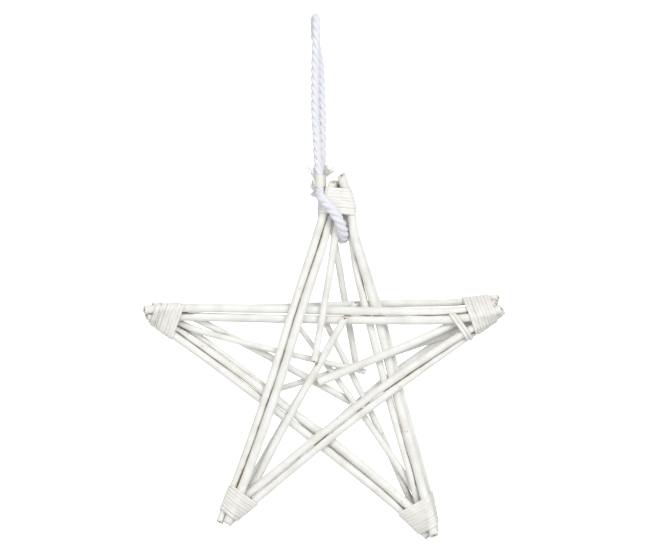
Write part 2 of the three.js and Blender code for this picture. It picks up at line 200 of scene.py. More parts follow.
@dataclass(frozen=True)
class WhitewashedWillow:
    """Peeled willow rod brushed with thin matt white paint.

    The paint follows the rod's fine lengthwise grain, lies thin over knots and stays out of the joins
    between rods, where the brown of the old bark shows; that brown is also painted shade, spread out from
    where rods touch or lie close.
    """

    paint: str = "#f2f2ef"
    thin_paint: str = "#e3e1d8"
    # Brown of the joins: old bark, and painted shade where rods touch or lie close
    bark_and_shade_brown: str = "#8a6a45"
    bark_fleck: str = "#6f6353"
    roughness: float = 0.62
    smoother: float = 0.08
    rougher: float = 0.14
    ior: float = 1.46
    grain: Noise = Noise(0.9, 4, 0.6)
    grain_length_mm: float = 26.0
    blotches: Noise = Noise(17.0, 3, 0.55)
    flecks: Noise = Noise(2.6, 2)
    fleck_stretch: float = 0.4
    grain_in_wear: float = 0.45
    blotches_in_joins: float = 0.9
    thin: Ramp = Ramp(0.66, 0.92, 0.85)
    flecked: Ramp = Ramp(0.725, 0.77, 0.6)
    # Where the joins' brown, bare bark and painted shade, takes over from the paint
    crease_shade: Ramp = Ramp(0.96, 1.32, 0.85)
    relief: Relief = Relief(0.55, 0.09)

    def build(self) -> bpy.types.Material:
        """Builds the painted rod material.

        Returns:
            The material.
        """
        material, tree = new_material("whitewashed_peeled_willow")
        place = add_node(tree, "Attribute", {"attribute_name": "rod_place"}).outputs["Vector"]
        join = add_node(tree, "Attribute", {"attribute_name": "join"}).outputs["Fac"]
        knot = add_node(tree, "Attribute", {"attribute_name": "knot"}).outputs["Fac"]
        # Willow's grain: streaks under a millimetre wide that run a few centimetres along the rod
        along = add_node(
            tree,
            "VectorMath",
            {"operation": "MULTIPLY", 1: (1, 1, self.grain.size_mm / self.grain_length_mm)},
            {0: place},
        )
        grain = add_node(tree, "TexNoise", self.grain.settings(), {"Vector": along.outputs[0]})
        blotch = add_node(tree, "TexNoise", self.blotches.settings(), {"Vector": place})
        tint_mask = add_node(
            tree,
            "Math",
            {"operation": "MULTIPLY_ADD", 1: self.grain_in_wear},
            {0: grain.outputs["Fac"], 2: blotch.outputs["Fac"]},
        )
        thin = add_node(tree, "MapRange", self.thin.settings(), {"Value": tint_mask.outputs[0]})
        painted = add_node(
            tree,
            "Mix",
            {"data_type": "RGBA", 6: linear(self.paint), 7: linear(self.thin_paint)},
            {0: thin.outputs["Result"]},
        )
        # Flecks of bark left under the brush, one or two millimetres long
        drawn = add_node(
            tree, "VectorMath", {"operation": "MULTIPLY", 1: (1, 1, self.fleck_stretch)}, {0: place}
        )
        fleck = add_node(tree, "TexNoise", self.flecks.settings(), {"Vector": drawn.outputs[0]})
        flecked = add_node(tree, "MapRange", self.flecked.settings(), {"Value": fleck.outputs["Fac"]})
        scarred = add_node(tree, "Math", {"operation": "MAXIMUM"}, {0: flecked.outputs["Result"], 1: knot})
        with_flecks = add_node(
            tree,
            "Mix",
            {"data_type": "RGBA", 7: linear(self.bark_fleck)},
            {0: scarred.outputs[0], 6: painted.outputs[2]},
        )
        # Joins: brown creeps out in patches from the line where two rods touch, partly unpainted bark and
        # partly painted shade
        join_shade_spread = add_node(
            tree,
            "Math",
            {"operation": "MULTIPLY_ADD", 1: self.blotches_in_joins},
            {0: blotch.outputs["Fac"], 2: join},
        )
        crease_shade = add_node(tree, "MapRange", self.crease_shade.settings(), {"Value": join_shade_spread.outputs[0]})
        colour = add_node(
            tree,
            "Mix",
            {"data_type": "RGBA", 7: linear(self.bark_and_shade_brown)},
            {0: crease_shade.outputs["Result"], 6: with_flecks.outputs[2]},
        )
        relief = add_node(tree, "Bump", self.relief.settings(), {"Height": grain.outputs["Fac"]})
        gloss = add_node(
            tree,
            "MapRange",
            {"To Min": self.roughness - self.smoother, "To Max": self.roughness + self.rougher},
            {"Value": blotch.outputs["Fac"]},
        )
        shader = add_node(
            tree,
            "BsdfPrincipled",
            {"IOR": self.ior, "Metallic": 0.0},
            {
                "Base Color": colour.outputs[2],
                "Roughness": gloss.outputs["Result"],
                "Normal": relief.outputs["Normal"],
            },
        )
        add_node(tree, "OutputMaterial", {}, {"Surface": shader.outputs["BSDF"]})
        return material


@dataclass(frozen=True)
class CutWillowEnd:
    """Sawn or snipped end of a willow rod: pale wood rings round a brown pith, with splashes of paint."""

    wood: str = "#e4dcc8"
    ring: str = "#cdbd9d"
    pith: str = "#4a3a28"
    paint: str = "#f1efe6"
    roughness: float = 0.78
    ior: float = 1.45
    ring_spacing_mm: float = 1.1
    ring_wobble_mm: float = 0.5
    saw_marks: Noise = Noise(1 / 0.9, 3)
    ringed: Ramp = Ramp(0.1, 1.0, 0.5)
    splashed: Ramp = Ramp(0.42, 0.58, 0.8)
    pith_edge: Ramp = Ramp(1.0 * MM, 1.5 * MM, 0.0, 1.0)
    relief: Relief = Relief(0.5, 0.15)

    def build(self) -> bpy.types.Material:
        """Builds the cut end material.

        Returns:
            The material.
        """
        material, tree = new_material("cut_willow_end")
        place = add_node(tree, "Attribute", {"attribute_name": "rod_place"}).outputs["Vector"]
        flat = add_node(tree, "VectorMath", {"operation": "MULTIPLY", 1: (1, 1, 0)}, {0: place})
        reach = add_node(tree, "VectorMath", {"operation": "LENGTH"}, {0: flat.outputs[0]})
        marks = add_node(tree, "TexNoise", self.saw_marks.settings(), {"Vector": place})
        wobbled = add_node(
            tree,
            "Math",
            {"operation": "MULTIPLY_ADD", 1: self.ring_wobble_mm * MM},
            {0: marks.outputs["Fac"], 2: reach.outputs["Value"]},
        )
        # Growth rings: a willow rod of one or two summers shows one or two
        turns = add_node(
            tree,
            "Math",
            {"operation": "MULTIPLY", 1: 2 * math.pi / (self.ring_spacing_mm * MM)},
            {0: wobbled.outputs[0]},
        )
        wave = add_node(tree, "Math", {"operation": "SINE"}, {0: turns.outputs[0]})
        ringed = add_node(tree, "MapRange", self.ringed.settings(), {"Value": wave.outputs[0]})
        wood = add_node(
            tree,
            "Mix",
            {"data_type": "RGBA", 6: linear(self.wood), 7: linear(self.ring)},
            {0: ringed.outputs["Result"]},
        )
        splash = add_node(tree, "MapRange", self.splashed.settings(), {"Value": marks.outputs["Fac"]})
        splashed = add_node(
            tree,
            "Mix",
            {"data_type": "RGBA", 7: linear(self.paint)},
            {0: splash.outputs["Result"], 6: wood.outputs[2]},
        )
        core = add_node(tree, "MapRange", self.pith_edge.settings(), {"Value": wobbled.outputs[0]})
        colour = add_node(
            tree,
            "Mix",
            {"data_type": "RGBA", 7: linear(self.pith)},
            {0: core.outputs["Result"], 6: splashed.outputs[2]},
        )
        relief = add_node(tree, "Bump", self.relief.settings(), {"Height": marks.outputs["Fac"]})
        shader = add_node(
            tree,
            "BsdfPrincipled",
            {"IOR": self.ior, "Roughness": self.roughness},
            {"Base Color": colour.outputs[2], "Normal": relief.outputs["Normal"]},
        )
        add_node(tree, "OutputMaterial", {}, {"Surface": shader.outputs["BSDF"]})
        return material


@dataclass(frozen=True)
class SplitWillowStrip:
    """Flat strip split from a willow rod, wound wet and painted.

    Fine fibres run along it, and its edges, which dip into the grooves between turns, are tinted tan as
    painted shade, so each turn has a faint tan line.
    """

    paint: str = "#f3f2ee"
    thin_paint: str = "#e7e4da"
    # Tan painted shade at the strip's edges, in the grooves between turns
    edge: str = "#c2b9a6"
    roughness: float = 0.58
    ior: float = 1.46
    fibres: Noise = Noise(0.45, 3, 0.6)
    fibre_length_mm: float = 14.0
    blotches: Noise = Noise(1 / 0.11, 2)
    fibres_in_wear: float = 0.5
    fibres_in_edge_shade: float = 0.6
    thin: Ramp = Ramp(0.66, 0.95, 0.9)
    crease_shade: Ramp = Ramp(0.85, 1.35, 0.85)
    relief: Relief = Relief(0.5, 0.07)

    def build(self) -> bpy.types.Material:
        """Builds the painted strip material.

        Returns:
            The material.
        """
        material, tree = new_material("painted_split_willow")
        place = add_node(tree, "Attribute", {"attribute_name": "strip_place"}).outputs["Vector"]
        edge = add_node(tree, "Attribute", {"attribute_name": "strip_edge"}).outputs["Fac"]
        along = add_node(
            tree,
            "VectorMath",
            {"operation": "MULTIPLY", 1: (self.fibres.size_mm / self.fibre_length_mm, 1, 1)},
            {0: place},
        )
        fibre = add_node(tree, "TexNoise", self.fibres.settings(), {"Vector": along.outputs[0]})
        blotch = add_node(tree, "TexNoise", self.blotches.settings(), {"Vector": place})
        tint_mask = add_node(
            tree,
            "Math",
            {"operation": "MULTIPLY_ADD", 1: self.fibres_in_wear},
            {0: fibre.outputs["Fac"], 2: blotch.outputs["Fac"]},
        )
        thin = add_node(tree, "MapRange", self.thin.settings(), {"Value": tint_mask.outputs[0]})
        painted = add_node(
            tree,
            "Mix",
            {"data_type": "RGBA", 6: linear(self.paint), 7: linear(self.thin_paint)},
            {0: thin.outputs["Result"]},
        )
        # Painted shade: the strip's edges turn tan where they dip into the groove between turns
        edge_shade_fibres = add_node(
            tree,
            "Math",
            {"operation": "MULTIPLY_ADD", 1: self.fibres_in_edge_shade},
            {0: fibre.outputs["Fac"], 2: edge},
        )
        crease_shade = add_node(tree, "MapRange", self.crease_shade.settings(), {"Value": edge_shade_fibres.outputs[0]})
        colour = add_node(
            tree,
            "Mix",
            {"data_type": "RGBA", 7: linear(self.edge)},
            {0: crease_shade.outputs["Result"], 6: painted.outputs[2]},
        )
        relief = add_node(tree, "Bump", self.relief.settings(), {"Height": fibre.outputs["Fac"]})
        shader = add_node(
            tree,
            "BsdfPrincipled",
            {"IOR": self.ior, "Roughness": self.roughness},
            {"Base Color": colour.outputs[2], "Normal": relief.outputs["Normal"]},
        )
        add_node(tree, "OutputMaterial", {}, {"Surface": shader.outputs["BSDF"]})
        return material


@dataclass(frozen=True)
class SpunCotton:
    """Soft spun cotton: many fine yarns, matt, with a faint bluish optical white and a soft halo."""

    name: str = "twisted_cotton"
    light: str = "#eeeff5"
    shade: str = "#e6e7ef"
    roughness: float = 0.93
    ior: float = 1.5
    sheen: float = 0.35
    sheen_roughness: float = 0.6
    light_within: float = 0.12
    light_depth_mm: float = 1.2
    yarns: Noise = Noise(0.5, 3, 0.65)
    yarn_stretch: float = 0.12
    relief: Relief = Relief(0.7, 0.12)

    def build(self) -> bpy.types.Material:
        """Builds the cotton material.

        Returns:
            The material.
        """
        material, tree = new_material(self.name)
        place = add_node(tree, "Attribute", {"attribute_name": "strand_place"}).outputs["Vector"]
        # Yarns of about half a millimetre lie side by side in each strand
        along = add_node(
            tree, "VectorMath", {"operation": "MULTIPLY", 1: (1, 1, self.yarn_stretch)}, {0: place}
        )
        yarn = add_node(tree, "TexNoise", self.yarns.settings(), {"Vector": along.outputs[0]})
        colour = add_node(
            tree,
            "Mix",
            {"data_type": "RGBA", 6: linear(self.shade), 7: linear(self.light)},
            {0: yarn.outputs["Fac"]},
        )
        relief = add_node(tree, "Bump", self.relief.settings(), {"Height": yarn.outputs["Fac"]})
        shader = add_node(
            tree,
            "BsdfPrincipled",
            {
                "IOR": self.ior,
                "Roughness": self.roughness,
                "Sheen Weight": self.sheen,
                "Sheen Roughness": self.sheen_roughness,
                "Subsurface Weight": self.light_within,
                "Subsurface Scale": self.light_depth_mm * MM,
            },
            {"Base Color": colour.outputs[2], "Normal": relief.outputs["Normal"]},
        )
        add_node(tree, "OutputMaterial", {}, {"Surface": shader.outputs["BSDF"]})
        return material


@dataclass(frozen=True)
class WovenTape:
    """Cream cotton tape: a fine plain weave, matt, warmer than the cord."""

    warp: str = "#f4f2ea"
    weft: str = "#e9e5da"
    roughness: float = 0.88
    ior: float = 1.5
    sheen: float = 0.2
    thread_mm: float = 0.55
    over_under: Ramp = Ramp(-1.0, 1.0, 1.0)
    relief: Relief = Relief(0.6, 0.12)

    def build(self) -> bpy.types.Material:
        """Builds the tape material.

        Returns:
            The material.
        """
        material, tree = new_material("cream_woven_tape")
        place = add_node(tree, "Attribute", {"attribute_name": "tape_place"}).outputs["Vector"]
        # Plain weave: over one, under one, threads half a millimetre apart
        threads = add_node(
            tree,
            "VectorMath",
            {"operation": "MULTIPLY", 1: (math.pi / (self.thread_mm * MM),) * 3},
            {0: place},
        )
        axes = add_node(tree, "SeparateXYZ", {}, {"Vector": threads.outputs[0]})
        across = add_node(tree, "Math", {"operation": "SINE"}, {0: axes.outputs["X"]})
        down = add_node(tree, "Math", {"operation": "SINE"}, {0: axes.outputs["Y"]})
        weave = add_node(
            tree, "Math", {"operation": "MULTIPLY"}, {0: across.outputs[0], 1: down.outputs[0]}
        )
        over = add_node(tree, "MapRange", self.over_under.settings(), {"Value": weave.outputs[0]})
        colour = add_node(
            tree,
            "Mix",
            {"data_type": "RGBA", 6: linear(self.weft), 7: linear(self.warp)},
            {0: over.outputs["Result"]},
        )
        relief = add_node(tree, "Bump", self.relief.settings(), {"Height": over.outputs["Result"]})
        shader = add_node(
            tree,
            "BsdfPrincipled",
            {"IOR": self.ior, "Roughness": self.roughness, "Sheen Weight": self.sheen},
            {"Base Color": colour.outputs[2], "Normal": relief.outputs["Normal"]},
        )
        add_node(tree, "OutputMaterial", {}, {"Surface": shader.outputs["BSDF"]})
        return material


@dataclass(frozen=True)
class StudioPaper:
    """Plain pale studio paper for the backdrop and the floor."""

    name: str
    colour: str
    glow: float
    roughness: float = 0.9

    def build(self) -> bpy.types.Material:
        """Builds the paper, which glows a little so that it photographs as plain white.

        Returns:
            The material.
        """
        material = bpy.data.materials.new(self.name)
        material.use_nodes = True
        shader = material.node_tree.nodes["Principled BSDF"]
        shader.inputs["Base Color"].default_value = linear(self.colour)
        shader.inputs["Roughness"].default_value = self.roughness
        shader.inputs["Emission Color"].default_value = (1, 1, 1, 1)
        shader.inputs["Emission Strength"].default_value = self.glow
        # Only the camera sees the glow: the paper is no lamp for the star
        material.cycles.emission_sampling = "NONE"
        return material


@dataclass
class MeshBuilder:
    """Vertices, faces and per-vertex values of one piece, gathered before its mesh is made."""

    places: list[np.ndarray] = field(default_factory=list)
    faces: list[tuple[int, ...]] = field(default_factory=list)
    face_slots: list[int] = field(default_factory=list)
    values: dict[str, list[np.ndarray]] = field(default_factory=dict)
    count: int = 0

    def add_places(self, places: np.ndarray, **values: np.ndarray) -> int:
        """Adds vertices with their named values.

        Args:
            places: Positions, one row each.
            **values: Arrays with one entry or one row for each position.

        Returns:
            The first new vertex's number.
        """
        first = self.count
        self.places.append(np.asarray(places, float).reshape(-1, 3))
        for name, value in values.items():
            self.values.setdefault(name, []).append(np.asarray(value, float))
        self.count += len(self.places[-1])
        return first

    def add_tube(self, first: int, rings: int, sides: int, closed: bool = False) -> None:
        """Adds the side faces between rings of vertices.

        Args:
            first: The first ring's first vertex.
            rings: How many rings follow each other.
            sides: Vertices in a ring.
            closed: Whether the last ring joins the first.
        """
        for ring in range(rings if closed else rings - 1):
            here = first + ring * sides
            there = first + ((ring + 1) % rings) * sides
            for k in range(sides):
                m = (k + 1) % sides
                self.add_face((here + k, here + m, there + m, there + k))

    def add_face(self, corners: tuple[int, ...], slot: int = 0) -> None:
        """Adds one face with its material slot."""
        self.faces.append(corners)
        self.face_slots.append(slot)

    def add_closed_tube(self, first: int, rings: int, sides: int) -> None:
        """Adds a tube with a face over each of its ends.

        Args:
            first: The first ring's first vertex.
            rings: How many rings follow each other.
            sides: Vertices in a ring.
        """
        last = first + (rings - 1) * sides
        self.add_tube(first, rings, sides)
        self.add_face(tuple(range(first, first + sides))[::-1])
        self.add_face(tuple(range(last, last + sides)))

    def finish(self, name: str, materials: list[bpy.types.Material]) -> bpy.types.Object:
        """Makes the object and links it into the scene.

        Args:
            name: The object's name.
            materials: The material of each slot.

        Returns:
            The new object.
        """
        mesh = bpy.data.meshes.new(name)
        mesh.from_pydata(np.vstack(self.places).tolist(), [], self.faces)
        for material in materials:
            mesh.materials.append(material)
        mesh.polygons.foreach_set("material_index", self.face_slots)
        mesh.polygons.foreach_set("use_smooth", [True] * len(self.faces))
        for key, chunks in self.values.items():
            data = np.concatenate(chunks)
            vector = data.ndim == 2
            layer = mesh.attributes.new(key, "FLOAT_VECTOR" if vector else "FLOAT", "POINT")
            layer.data.foreach_set("vector" if vector else "value", data.ravel())
        mesh.validate(clean_customdata=False)
        mesh.update()
        piece = bpy.data.objects.new(name, mesh)
        bpy.context.scene.collection.objects.link(piece)
        return piece


def unit(vector: np.ndarray) -> np.ndarray:
    """Scales vectors, one or one a row, to a length of one."""
    return vector / np.maximum(np.linalg.norm(vector, axis=-1, keepdims=True), 1e-12)


def distances_along(line: np.ndarray) -> np.ndarray:
    """The distance along a line from its first point to each of its points."""
    return np.concatenate([[0], np.cumsum(np.linalg.norm(np.diff(line, axis=0), axis=1))])


def ring_angles(sides: int) -> np.ndarray:
    """The angles of a ring's vertices."""
    return np.arange(sides) / sides * 2 * math.pi


def smooth_line(knots: np.ndarray, spacing: float, between: int = 16) -> np.ndarray:
    """Runs a smooth curve through knots and spaces points evenly along it.

    Args:
        knots: The knots, one a row, with any number of columns after the first three.
        spacing: The wanted distance between points.
        between: How many points the curve is measured with from one knot to the next.

    Returns:
        The points, with the knots' other columns carried along.
    """
    ends = (2 * knots[:1] - knots[1:2], 2 * knots[-1:] - knots[-2:-1])
    padded = np.vstack([ends[0], knots, ends[1]])
    pieces = []
    share = np.linspace(0, 1, between, endpoint=False)[:, None]
    for a, b, c, d in zip(padded, padded[1:], padded[2:], padded[3:]):
        slope = -a + c
        bend = 2 * a - 5 * b + 4 * c - d
        twist = -a + 3 * b - 3 * c + d
        pieces.append(0.5 * (2 * b + slope * share + bend * share**2 + twist * share**3))
    line = np.vstack([*pieces, knots[-1:]])
    run = distances_along(line[:, :3])
    steps = max(2, round(run[-1] / spacing))
    wanted = np.linspace(0, run[-1], steps + 1)
    return np.stack([np.interp(wanted, run, column) for column in line.T], axis=1)


def frames_along(line: np.ndarray, first_side: np.ndarray) -> tuple[np.ndarray, np.ndarray, np.ndarray]:
    """Carries a pair of side directions along a line without twist.

    Args:
        line: The line's points.
        first_side: A direction for the first side vector to lean to.

    Returns:
        The run, the side and the other side at each point.
    """
    run = unit(np.gradient(line, axis=0))
    side = np.zeros_like(run)
    current = first_side
    for i, direction in enumerate(run):
        current = unit(current - direction * (current @ direction))
        side[i] = current
    return run, side, np.cross(run, side)


def spokes_round(side: np.ndarray, other: np.ndarray, angles: np.ndarray) -> np.ndarray:
    """Unit vectors square to a line at each of its points.

    Args:
        side: The side direction at each point.
        other: The other side direction at each point.
        angles: Angles from the side direction.

    Returns:
        One vector for each point and angle.
    """
    return side[:, None] * np.cos(angles)[:, None] + other[:, None] * np.sin(angles)[:, None]


def wobble(seed: int, where: np.ndarray, wavelength: float, octaves: int = 2) -> np.ndarray:
    """A smooth seeded wobble between about -1 and 1.

    Args:
        seed: Picks the wobble.
        where: The places along it.
        wavelength: Its longest wave, in the same unit.
        octaves: How many shorter waves ride on it.

    Returns:
        The wobble at each place.
    """
    source = np.random.default_rng(seed)
    total = np.zeros_like(where, dtype=float)
    for octave in range(octaves):
        for _ in range(WAVES):
            phase, stretch = source.uniform(0, 2 * math.pi), source.uniform(*WAVE_STRETCH)
            total += np.sin(where * 2 * math.pi * 2**octave * stretch / wavelength + phase) / 2**octave
    return total / WAVE_SUM


@dataclass
class RodLine:
    """A rod's centreline and radius, read from its solid's rings."""

    name: str
    rings: np.ndarray

    # Corners round each ring of a rod's solid
    CORNERS = 8

    @classmethod
    def of(cls, name: str, solid: bpy.types.Object) -> "RodLine":
        """Reads the rings of a rod's solid.

        Args:
            name: The solid's name.
            solid: The solid.

        Returns:
            The rod's line: one row of x, y, z and radius for each ring.
        """
        corners = np.array([vertex.co for vertex in solid.data.vertices])
        # Corners that agree to a tenth of a micrometre are one
        corners = np.unique(corners.round(7), axis=0)
        middle = corners.mean(axis=0)
        axis = np.linalg.svd(corners - middle, full_matrices=False)[2][0]
        ordered = corners[np.argsort((corners - middle) @ axis)]
        rings = ordered.reshape(-1, cls.CORNERS, 3)
        centres = rings.mean(axis=1)
        radii = np.linalg.norm(rings - centres[:, None], axis=2).mean(axis=1)
        return cls(name, np.column_stack([centres, radii]))

    def circle_at(
        self, tip: np.ndarray, axis: np.ndarray, distance: float
    ) -> tuple[float, float, float] | None:
        """Where the rod passes a plane square to a tip's axis.

        Args:
            tip: The tip's point.
            axis: The direction from the tip to the star's centre.
            distance: The plane's distance from the tip.

        Returns:
            The place across, the depth and the radius in that plane, or None where it doesn't pass.
        """
        heights = (self.rings[:, :3] - tip) @ axis - distance
        for i in range(len(heights) - 1):
            if heights[i] * heights[i + 1] <= 0 and heights[i] != heights[i + 1]:
                share = heights[i] / (heights[i] - heights[i + 1])
                ring = self.rings[i] * (1 - share) + self.rings[i + 1] * share
                run = unit(self.rings[i + 1, :3] - self.rings[i, :3])
                place = ring[:3] - tip
                across = place @ np.array([-axis[2], 0, axis[0]])
                return across, place[1], ring[3] / abs(run @ axis)
        return None


def distance_to_rod(places: np.ndarray, rod: RodLine) -> np.ndarray:
    """The distance from each place to a rod's surface, in metres.

    Args:
        places: The places, one a row.
        rod: The rod.

    Returns:
        The distances, negative inside the rod.
    """
    nearest = np.full(len(places), OUT_OF_REACH)
    for here, there in zip(rod.rings, rod.rings[1:]):
        span = there[:3] - here[:3]
        share = np.clip((places - here[:3]) @ span / (span @ span), 0, 1)
        gap = np.linalg.norm(places - here[:3] - share[:, None] * span, axis=1)
        nearest = np.minimum(nearest, gap - here[3] - share * (there[3] - here[3]))
    return nearest


@dataclass(frozen=True)
class Knots:
    """Sizes of a rod's knots and of the bud scar on each."""

    spacing: float = 58 * MM
    first_shares: tuple[float, float] = (0.3, 1.0)
    next_shares: tuple[float, float] = (0.55, 1.5)
    sizes: tuple[float, float] = (0.5, 1.0)
    clear_end: float = 4 * MM
    height: float = 0.32 * MM
    swelling_share: float = 0.3
    swelling_length: float = 3.6 * MM
    bud_length: float = 2.6 * MM
    bud_angle: float = 0.55
    scar_offset: float = 1.2 * MM
    scar_length: float = 1.3 * MM
    scar_angle: float = 0.28
    scar_darkness: float = 0.55
    darkest: float = 0.8

    def lay(
        self, source: np.random.Generator, along: np.ndarray, angles: np.ndarray
    ) -> tuple[np.ndarray, np.ndarray]:
        """Places knots along a rod, each with a bud scar on one side.

        Args:
            source: The rod's own seeded numbers.
            along: Distances of the rings.
            angles: Angles round a ring.

        Returns:
            The swelling and the scar's darkness at each vertex.
        """
        swell = np.zeros((len(along), len(angles)))
        scar = np.zeros_like(swell)
        place = source.uniform(*self.first_shares) * self.spacing
        while place < along[-1] - self.clear_end:
            facing = source.uniform(0, 2 * math.pi)
            turn = np.angle(np.exp(1j * (angles[None] - facing)))
            past = along[:, None] - place
            ring = np.exp(-((past / self.swelling_length) ** 2))
            bud = np.exp(-((past / self.bud_length) ** 2) - (turn / self.bud_angle) ** 2)
            size = source.uniform(*self.sizes)
            swell += self.height * size * (self.swelling_share * ring + bud)
            past_scar = past - self.scar_offset
            spot = np.exp(-((past_scar / self.scar_length) ** 2) - (turn / self.scar_angle) ** 2)
            scar += spot * source.uniform(0.0, self.scar_darkness)
            place += self.spacing * source.uniform(*self.next_shares)
        return swell, np.clip(scar, 0, self.darkest)


@dataclass(frozen=True)
class CutEnds:
    """Sizes of a rod's cut ends: slanted, ragged, a little rounded, with a sunken pith."""

    slopes: tuple[float, float] = (0.15, 0.55)
    towards_viewer: float = 0.8
    sideways: float = 0.7
    ragged: float = 0.5 * MM
    ring_gap: float = 0.4 * MM
    rings_moved: int = 3

    # Share of the rod's own ring, and height over the cut, of each ring of the end's face
    FACE_RINGS = ((0.9, 0.0), (0.55, 0.0), (0.26, -0.07 * MM), (0.12, -0.62 * MM))

    def slant(
        self,
        source: np.random.Generator,
        places: np.ndarray,
        offset: np.ndarray,
        run: np.ndarray,
        spacing: float,
    ) -> None:
        """Slants both cut ends inwards and makes them ragged.

        Args:
            source: The rod's own seeded numbers.
            places: The vertices, changed in place.
            offset: Each vertex's offset from the centreline.
            run: The rod's direction at each ring.
            spacing: The distance between rings.
        """
        for end, inward in ((0, 1), (len(places) - 1, -1)):
            facing = source.uniform(0, 2 * math.pi)
            slope = source.uniform(*self.slopes)
            # Most cuts were made from the front, so their faces turn a little towards the viewer
            aside = (self.sideways * math.cos(facing), self.sideways * math.sin(facing))
            lean = offset[end] @ unit(np.array([aside[0], self.towards_viewer, aside[1]]))
            depth = (lean.max() - lean) * slope + self.ragged * source.uniform(0, 1, len(lean)) ** 2
            places[end] += run[end] * (inward * depth[:, None])
            for step in range(1, self.rings_moved + 1):
                ring = end + inward * step
                late = np.maximum(0, depth + self.ring_gap * step - spacing * step)
                places[ring] += run[ring] * (inward * late[:, None])

    def close(
        self,
        mesh: MeshBuilder,
        ring: np.ndarray,
        flat: np.ndarray,
        outward: np.ndarray,
        first: int,
        turned: bool,
    ) -> None:
        """Closes a cut end: a rounded edge, a flat face and a sunken pith.

        Args:
            mesh: The rod's mesh.
            ring: The end's outer ring.
            flat: The ring's places on the straightened rod.
            outward: The direction out of the end.
            first: The outer ring's first vertex.
            turned: Whether the faces turn the other way.
        """
        sides = len(ring)
        centre = ring.mean(axis=0)
        middle = flat.mean(axis=0)
        previous = first
        zeros = np.zeros(sides)
        finish = RodFinish.BARK_SIDE
        for share, height in self.FACE_RINGS:
            places = centre + (ring - centre) * share + outward * height
            spread = middle + (flat - middle) * share
            here = mesh.add_places(places, rod_place=spread, join=zeros, knot=zeros)
            for k in range(sides):
                m = (k + 1) % sides
                corners = (previous + k, previous + m, here + m, here + k)
                mesh.add_face(corners[::-1] if turned else corners, finish.value)
            previous = here
            finish = RodFinish.CUT_END
        cap = tuple(range(previous, previous + sides))
        mesh.add_face(cap[::-1] if turned else cap, finish.value)


@dataclass
class WillowRod:
    """One willow rod: a long taper with faint lengthwise ribs, knots with bud scars, and two cut ends.

    Its grain starts at a place of its own, so no two rods look alike.
    """

    line: RodLine
    seed: int
    sides: int = 20
    ring_spacing: float = 2.2 * MM
    girth_drift: float = 0.022
    girth_wave: float = 70 * MM
    oval: float = 0.02
    oval_turn: float = 6.0
    ribs: int = 5
    rib_height: float = 0.07 * MM
    grain_offset: float = 0.37
    # How far the brown of the joins, bark and painted shade, reaches from other rods; further round the
    # mouths of the bindings
    join_reach: float = 3.0 * MM
    join_margin: float = 4 * MM
    mouth_distance: float = 36 * MM
    mouth_length: float = 8 * MM
    mouth_shade_reach: float = 2.2 * MM
    knots: Knots = Knots()
    ends: CutEnds = CutEnds()

    def build(self, others: list[RodLine], materials: list[bpy.types.Material]) -> bpy.types.Object:
        """Builds the rod over its solid.

        Args:
            others: The other rods, which it may touch.
            materials: The bark side's and the cut ends' materials.

        Returns:
            The rod's object.
        """
        source = np.random.default_rng(self.seed)
        line = smooth_line(self.line.rings, self.ring_spacing)
        run, side, other = frames_along(line[:, :3], np.array([0.0, 1.0, 0.0]))
        along = distances_along(line[:, :3])
        angles = ring_angles(self.sides)
        radius = line[:, 3] * (1 + self.girth_drift * wobble(self.seed, along, self.girth_wave))
        oval_angle = angles[None] + source.uniform(0, math.pi) + along[:, None] * self.oval_turn
        ribs = self.rib_height * wobble(self.seed + 1, angles, 2 * math.pi / self.ribs)[None]
        swell, scar = self.knots.lay(source, along, angles)
        reach = radius[:, None] * (1 + self.oval * np.cos(2 * oval_angle)) + ribs + swell
        offset = spokes_round(side, other, angles) * reach[..., None]
        places = line[:, None, :3] + offset
        self.ends.slant(source, places, offset, run, self.ring_spacing)
        rows = np.broadcast_to(along[:, None] + self.seed * self.grain_offset, reach.shape)
        flat = np.stack([reach * np.cos(angles), reach * np.sin(angles), rows], axis=2)
        # Nearness to other rods, which the material paints brown as bark and painted shade
        touch = self.joins(places.reshape(-1, 3), others)
        mesh = MeshBuilder()
        first = mesh.add_places(places, rod_place=flat.reshape(-1, 3), join=touch, knot=scar.ravel())
        mesh.add_tube(first, len(line), self.sides)
        last = first + (len(line) - 1) * self.sides
        self.ends.close(mesh, places[0], flat[0], -run[0], first, turned=True)
        self.ends.close(mesh, places[-1], flat[-1], run[-1], last, turned=False)
        return mesh.finish(f"willow_{self.line.name}", materials)

    def joins(self, places: np.ndarray, others: list[RodLine]) -> np.ndarray:
        """How close places lie to other rods, for the brown of bark and painted shade. The joins reach
        further at the mouths of the bindings.

        Args:
            places: The places on the rod, one a row.
            others: The other rods.

        Returns:
            1 where the rods touch, down to 0 past the join's reach.
        """
        gap = np.full(len(places), OUT_OF_REACH)
        reach = np.full(len(places), self.join_reach)
        for tip in Tip:
            from_tip = np.linalg.norm(places - STAR_CENTRE - tip.from_centre(), axis=1)
            from_mouth = (from_tip - self.mouth_distance) / self.mouth_length
            reach += self.mouth_shade_reach * np.exp(-(from_mouth**2))
        low, high = places.min(axis=0) - self.join_margin, places.max(axis=0) + self.join_margin
        for rod in others:
            centres = rod.rings[:, :3]
            if np.all(centres.max(axis=0) > low) and np.all(centres.min(axis=0) < high):
                gap = np.minimum(gap, distance_to_rod(places, rod))
        return np.clip(1 - gap / reach, 0, 1)


